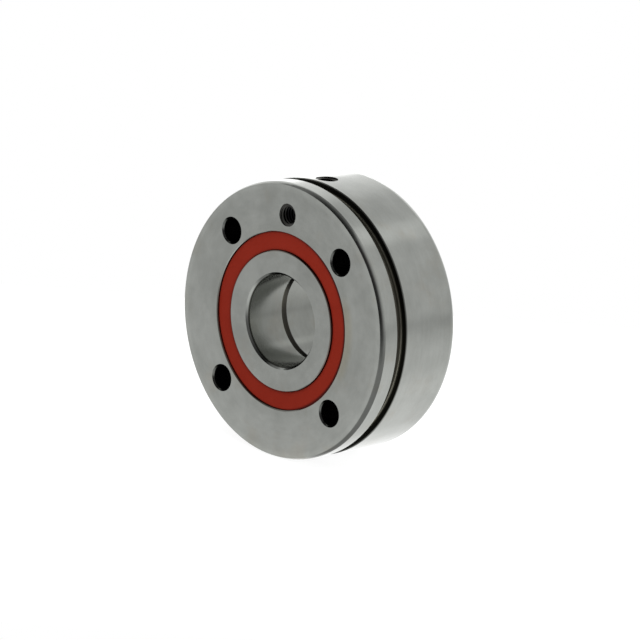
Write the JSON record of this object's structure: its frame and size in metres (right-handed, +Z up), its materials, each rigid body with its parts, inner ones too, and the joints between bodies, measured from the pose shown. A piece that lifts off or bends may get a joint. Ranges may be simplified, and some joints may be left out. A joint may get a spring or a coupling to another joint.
{
  "type": "axial angular contact ball bearing",
  "caption": "Sealed double-row axial angular contact ball bearing for screw mounting, with a split inner ring, an extraction groove and threaded lubrication ports.",
  "frame": {"origin": "middle of the bearing, on its axis at mid-width", "axes": "+Y along the bearing axis towards the plain rear face, +Z up towards the lubrication ports, +X to the right seen from the ported front face"},
  "size_m": [0.075, 0.028, 0.075],
  "materials": {
    "ring_steel": "ground",
    "ball_steel": "polished",
    "cage_polyamide": "moulded",
    "seal_rubber": "matt",
    "insert_steel": "pressed"
  },
  "bodies": {
    "outer_ring": {"outer_ring": "ring_steel", "seal_front": "seal_rubber", "seal_rear": "seal_rubber", "seal_insert_front": "insert_steel", "seal_insert_rear": "insert_steel"},
    "inner_ring": {"inner_ring_front": "ring_steel", "inner_ring_rear": "ring_steel"},
    "cage_front": {"cage_front": "cage_polyamide"},
    "cage_rear": {"cage_rear": "cage_polyamide"},
    "ball_front_01": {"ball_front_01": "ball_steel"},
    "ball_front_02": {"ball_front_02": "ball_steel"},
    "ball_front_03": {"ball_front_03": "ball_steel"},
    "ball_front_04": {"ball_front_04": "ball_steel"},
    "ball_front_05": {"ball_front_05": "ball_steel"},
    "ball_front_06": {"ball_front_06": "ball_steel"},
    "ball_front_07": {"ball_front_07": "ball_steel"},
    "ball_front_08": {"ball_front_08": "ball_steel"},
    "ball_front_09": {"ball_front_09": "ball_steel"},
    "ball_front_10": {"ball_front_10": "ball_steel"},
    "ball_front_11": {"ball_front_11": "ball_steel"},
    "ball_front_12": {"ball_front_12": "ball_steel"},
    "ball_front_13": {"ball_front_13": "ball_steel"},
    "ball_front_14": {"ball_front_14": "ball_steel"},
    "ball_front_15": {"ball_front_15": "ball_steel"},
    "ball_rear_01": {"ball_rear_01": "ball_steel"},
    "ball_rear_02": {"ball_rear_02": "ball_steel"},
    "ball_rear_03": {"ball_rear_03": "ball_steel"},
    "ball_rear_04": {"ball_rear_04": "ball_steel"},
    "ball_rear_05": {"ball_rear_05": "ball_steel"},
    "ball_rear_06": {"ball_rear_06": "ball_steel"},
    "ball_rear_07": {"ball_rear_07": "ball_steel"},
    "ball_rear_08": {"ball_rear_08": "ball_steel"},
    "ball_rear_09": {"ball_rear_09": "ball_steel"},
    "ball_rear_10": {"ball_rear_10": "ball_steel"},
    "ball_rear_11": {"ball_rear_11": "ball_steel"},
    "ball_rear_12": {"ball_rear_12": "ball_steel"},
    "ball_rear_13": {"ball_rear_13": "ball_steel"},
    "ball_rear_14": {"ball_rear_14": "ball_steel"},
    "ball_rear_15": {"ball_rear_15": "ball_steel"}
  },
  "joints": [
    {"name": "inner_ring_spin", "type": "hinge", "parent": "outer_ring", "child": "inner_ring", "pos_m": [0, 0, 0], "axis": [0, -1, 0], "continuous": true},
    {"name": "cage_front_spin", "type": "hinge", "parent": "outer_ring", "child": "cage_front", "pos_m": [0, 0, 0], "axis": [0, -1, 0], "continuous": true},
    {"name": "cage_rear_spin", "type": "hinge", "parent": "outer_ring", "child": "cage_rear", "pos_m": [0, 0, 0], "axis": [0, -1, 0], "continuous": true},
    {"name": "ball_front_01_spin", "type": "hinge", "parent": "cage_front", "child": "ball_front_01", "pos_m": [0, -0.005, 0.02045], "axis": [0, -0.5, 0.866], "continuous": true},
    {"name": "ball_front_02_spin", "type": "hinge", "parent": "cage_front", "child": "ball_front_02", "pos_m": [-0.00832, -0.005, 0.01868], "axis": [-0.3522, -0.5, 0.7912], "continuous": true},
    {"name": "ball_front_03_spin", "type": "hinge", "parent": "cage_front", "child": "ball_front_03", "pos_m": [-0.0152, -0.005, 0.01368], "axis": [-0.6436, -0.5, 0.5795], "continuous": true},
    {"name": "ball_front_04_spin", "type": "hinge", "parent": "cage_front", "child": "ball_front_04", "pos_m": [-0.01945, -0.005, 0.00632], "axis": [-0.8236, -0.5, 0.2676], "continuous": true},
    {"name": "ball_front_05_spin", "type": "hinge", "parent": "cage_front", "child": "ball_front_05", "pos_m": [-0.02034, -0.005, -0.00214], "axis": [-0.8613, -0.5, -0.0905], "continuous": true},
    {"name": "ball_front_06_spin", "type": "hinge", "parent": "cage_front", "child": "ball_front_06", "pos_m": [-0.01771, -0.005, -0.01022], "axis": [-0.75, -0.5, -0.433], "continuous": true},
    {"name": "ball_front_07_spin", "type": "hinge", "parent": "cage_front", "child": "ball_front_07", "pos_m": [-0.01202, -0.005, -0.01654], "axis": [-0.509, -0.5, -0.7006], "continuous": true},
    {"name": "ball_front_08_spin", "type": "hinge", "parent": "cage_front", "child": "ball_front_08", "pos_m": [-0.00425, -0.005, -0.02], "axis": [-0.1801, -0.5, -0.8471], "continuous": true},
    {"name": "ball_front_09_spin", "type": "hinge", "parent": "cage_front", "child": "ball_front_09", "pos_m": [0.00425, -0.005, -0.02], "axis": [0.1801, -0.5, -0.8471], "continuous": true},
    {"name": "ball_front_10_spin", "type": "hinge", "parent": "cage_front", "child": "ball_front_10", "pos_m": [0.01202, -0.005, -0.01654], "axis": [0.509, -0.5, -0.7006], "continuous": true},
    {"name": "ball_front_11_spin", "type": "hinge", "parent": "cage_front", "child": "ball_front_11", "pos_m": [0.01771, -0.005, -0.01022], "axis": [0.75, -0.5, -0.433], "continuous": true},
    {"name": "ball_front_12_spin", "type": "hinge", "parent": "cage_front", "child": "ball_front_12", "pos_m": [0.02034, -0.005, -0.00214], "axis": [0.8613, -0.5, -0.0905], "continuous": true},
    {"name": "ball_front_13_spin", "type": "hinge", "parent": "cage_front", "child": "ball_front_13", "pos_m": [0.01945, -0.005, 0.00632], "axis": [0.8236, -0.5, 0.2676], "continuous": true},
    {"name": "ball_front_14_spin", "type": "hinge", "parent": "cage_front", "child": "ball_front_14", "pos_m": [0.0152, -0.005, 0.01368], "axis": [0.6436, -0.5, 0.5795], "continuous": true},
    {"name": "ball_front_15_spin", "type": "hinge", "parent": "cage_front", "child": "ball_front_15", "pos_m": [0.00832, -0.005, 0.01868], "axis": [0.3522, -0.5, 0.7912], "continuous": true},
    {"name": "ball_rear_01_spin", "type": "hinge", "parent": "cage_rear", "child": "ball_rear_01", "pos_m": [-0.00425, 0.005, 0.02], "axis": [0.1801, -0.5, -0.8471], "continuous": true},
    {"name": "ball_rear_02_spin", "type": "hinge", "parent": "cage_rear", "child": "ball_rear_02", "pos_m": [-0.01202, 0.005, 0.01654], "axis": [0.509, -0.5, -0.7006], "continuous": true},
    {"name": "ball_rear_03_spin", "type": "hinge", "parent": "cage_rear", "child": "ball_rear_03", "pos_m": [-0.01771, 0.005, 0.01022], "axis": [0.75, -0.5, -0.433], "continuous": true},
    {"name": "ball_rear_04_spin", "type": "hinge", "parent": "cage_rear", "child": "ball_rear_04", "pos_m": [-0.02034, 0.005, 0.00214], "axis": [0.8613, -0.5, -0.0905], "continuous": true},
    {"name": "ball_rear_05_spin", "type": "hinge", "parent": "cage_rear", "child": "ball_rear_05", "pos_m": [-0.01945, 0.005, -0.00632], "axis": [0.8236, -0.5, 0.2676], "continuous": true},
    {"name": "ball_rear_06_spin", "type": "hinge", "parent": "cage_rear", "child": "ball_rear_06", "pos_m": [-0.0152, 0.005, -0.01368], "axis": [0.6436, -0.5, 0.5795], "continuous": true},
    {"name": "ball_rear_07_spin", "type": "hinge", "parent": "cage_rear", "child": "ball_rear_07", "pos_m": [-0.00832, 0.005, -0.01868], "axis": [0.3522, -0.5, 0.7912], "continuous": true},
    {"name": "ball_rear_08_spin", "type": "hinge", "parent": "cage_rear", "child": "ball_rear_08", "pos_m": [0, 0.005, -0.02045], "axis": [0, -0.5, 0.866], "continuous": true},
    {"name": "ball_rear_09_spin", "type": "hinge", "parent": "cage_rear", "child": "ball_rear_09", "pos_m": [0.00832, 0.005, -0.01868], "axis": [-0.3522, -0.5, 0.7912], "continuous": true},
    {"name": "ball_rear_10_spin", "type": "hinge", "parent": "cage_rear", "child": "ball_rear_10", "pos_m": [0.0152, 0.005, -0.01368], "axis": [-0.6436, -0.5, 0.5795], "continuous": true},
    {"name": "ball_rear_11_spin", "type": "hinge", "parent": "cage_rear", "child": "ball_rear_11", "pos_m": [0.01945, 0.005, -0.00632], "axis": [-0.8236, -0.5, 0.2676], "continuous": true},
    {"name": "ball_rear_12_spin", "type": "hinge", "parent": "cage_rear", "child": "ball_rear_12", "pos_m": [0.02034, 0.005, 0.00214], "axis": [-0.8613, -0.5, -0.0905], "continuous": true},
    {"name": "ball_rear_13_spin", "type": "hinge", "parent": "cage_rear", "child": "ball_rear_13", "pos_m": [0.01771, 0.005, 0.01022], "axis": [-0.75, -0.5, -0.433], "continuous": true},
    {"name": "ball_rear_14_spin", "type": "hinge", "parent": "cage_rear", "child": "ball_rear_14", "pos_m": [0.01202, 0.005, 0.01654], "axis": [-0.509, -0.5, -0.7006], "continuous": true},
    {"name": "ball_rear_15_spin", "type": "hinge", "parent": "cage_rear", "child": "ball_rear_15", "pos_m": [0.00425, 0.005, 0.02], "axis": [-0.1801, -0.5, -0.8471], "continuous": true}
  ],
  "couplings": [
    {"joint": "cage_front_spin", "follows": "inner_ring_spin", "ratio": 0.45633},
    {"joint": "cage_rear_spin", "follows": "inner_ring_spin", "ratio": 0.45633},
    {"joint": "ball_front_01_spin", "follows": "inner_ring_spin", "ratio": -2.8407},
    {"joint": "ball_front_02_spin", "follows": "inner_ring_spin", "ratio": -2.8407},
    {"joint": "ball_front_03_spin", "follows": "inner_ring_spin", "ratio": -2.8407},
    {"joint": "ball_front_04_spin", "follows": "inner_ring_spin", "ratio": -2.8407},
    {"joint": "ball_front_05_spin", "follows": "inner_ring_spin", "ratio": -2.8407},
    {"joint": "ball_front_06_spin", "follows": "inner_ring_spin", "ratio": -2.8407},
    {"joint": "ball_front_07_spin", "follows": "inner_ring_spin", "ratio": -2.8407},
    {"joint": "ball_front_08_spin", "follows": "inner_ring_spin", "ratio": -2.8407},
    {"joint": "ball_front_09_spin", "follows": "inner_ring_spin", "ratio": -2.8407},
    {"joint": "ball_front_10_spin", "follows": "inner_ring_spin", "ratio": -2.8407},
    {"joint": "ball_front_11_spin", "follows": "inner_ring_spin", "ratio": -2.8407},
    {"joint": "ball_front_12_spin", "follows": "inner_ring_spin", "ratio": -2.8407},
    {"joint": "ball_front_13_spin", "follows": "inner_ring_spin", "ratio": -2.8407},
    {"joint": "ball_front_14_spin", "follows": "inner_ring_spin", "ratio": -2.8407},
    {"joint": "ball_front_15_spin", "follows": "inner_ring_spin", "ratio": -2.8407},
    {"joint": "ball_rear_01_spin", "follows": "inner_ring_spin", "ratio": -2.8407},
    {"joint": "ball_rear_02_spin", "follows": "inner_ring_spin", "ratio": -2.8407},
    {"joint": "ball_rear_03_spin", "follows": "inner_ring_spin", "ratio": -2.8407},
    {"joint": "ball_rear_04_spin", "follows": "inner_ring_spin", "ratio": -2.8407},
    {"joint": "ball_rear_05_spin", "follows": "inner_ring_spin", "ratio": -2.8407},
    {"joint": "ball_rear_06_spin", "follows": "inner_ring_spin", "ratio": -2.8407},
    {"joint": "ball_rear_07_spin", "follows": "inner_ring_spin", "ratio": -2.8407},
    {"joint": "ball_rear_08_spin", "follows": "inner_ring_spin", "ratio": -2.8407},
    {"joint": "ball_rear_09_spin", "follows": "inner_ring_spin", "ratio": -2.8407},
    {"joint": "ball_rear_10_spin", "follows": "inner_ring_spin", "ratio": -2.8407},
    {"joint": "ball_rear_11_spin", "follows": "inner_ring_spin", "ratio": -2.8407},
    {"joint": "ball_rear_12_spin", "follows": "inner_ring_spin", "ratio": -2.8407},
    {"joint": "ball_rear_13_spin", "follows": "inner_ring_spin", "ratio": -2.8407},
    {"joint": "ball_rear_14_spin", "follows": "inner_ring_spin", "ratio": -2.8407},
    {"joint": "ball_rear_15_spin", "follows": "inner_ring_spin", "ratio": -2.8407}
  ]
}
